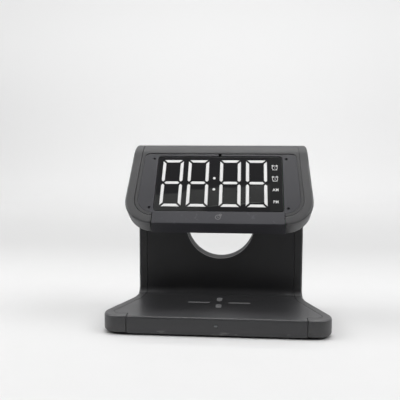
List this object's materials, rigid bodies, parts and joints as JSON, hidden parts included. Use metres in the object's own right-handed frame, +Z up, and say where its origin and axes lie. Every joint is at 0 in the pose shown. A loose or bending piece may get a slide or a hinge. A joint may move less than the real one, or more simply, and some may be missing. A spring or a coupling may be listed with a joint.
{
  "type": "wireless charging alarm clock",
  "caption": "C-shaped bedside clock: a flared base charges a phone, a column with a round opening holds a leaning head with a seven-segment display.",
  "frame": {"origin": "centre of the bounding box on the table, under the feet", "axes": "+X to the right seen from the front, +Y from the display side to the rear, +Z up"},
  "size_m": [0.1498, 0.0762, 0.123],
  "materials": {
    "shell": "fine matte",
    "trim": "fine matte",
    "plate": "satin",
    "cover": "textured",
    "mask": "glossy",
    "diffuser": "milky",
    "light": "clear",
    "rubber": "matte",
    "screw": "blackened",
    "nickel": "nickel plated",
    "copper": "enamelled wire",
    "ferrite": "dull",
    "board": "solder mask",
    "cable": "satin"
  },
  "bodies": {
    "clock": {"inner_shell": "shell", "outer_shell": "shell", "base_cover": "cover", "left_side_trim": "trim", "right_side_trim": "trim", "face_plate": "plate", "display_mask": "mask", "segment_diffuser": "diffuser", "display_board": "board", "touch_spring": "nickel", "face_screw_lower_left": "screw", "face_screw_lower_right": "screw", "face_screw_upper_left": "screw", "face_screw_upper_right": "screw", "charging_coil": "copper", "ferrite_sheet": "ferrite", "charger_board": "board", "usb_socket": "nickel", "indicator_light_pipe": "light", "cell_holder": "cover", "coin_cell": "nickel", "button_board": "board", "buzzer": "mask", "ribbon_cable": "cable", "base_screw_front_left": "screw", "base_screw_front_right": "screw", "base_screw_rear_left": "screw", "base_screw_rear_right": "screw", "foot_front_left": "rubber", "foot_front_right": "rubber", "foot_rear_left": "rubber", "foot_rear_right": "rubber"},
    "set_key": {"set_button": "trim"},
    "up_key": {"up_button": "trim"},
    "down_key": {"down_button": "trim"},
    "alarm_key": {"alarm_button": "trim"},
    "dimmer_key": {"dimmer_button": "trim"}
  },
  "joints": [
    {"name": "set_press", "type": "slide", "parent": "clock", "child": "set_key", "axis": [0, -1, 0], "range_m": [0, 0.0006], "stiffness_N_per_m": 800},
    {"name": "up_press", "type": "slide", "parent": "clock", "child": "up_key", "axis": [0, -1, 0], "range_m": [0, 0.0006], "stiffness_N_per_m": 800},
    {"name": "down_press", "type": "slide", "parent": "clock", "child": "down_key", "axis": [0, -1, 0], "range_m": [0, 0.0006], "stiffness_N_per_m": 800},
    {"name": "alarm_press", "type": "slide", "parent": "clock", "child": "alarm_key", "axis": [0, -1, 0], "range_m": [0, 0.0006], "stiffness_N_per_m": 800},
    {"name": "dimmer_press", "type": "slide", "parent": "clock", "child": "dimmer_key", "axis": [0, -1, 0], "range_m": [0, 0.0006], "stiffness_N_per_m": 800}
  ]
}
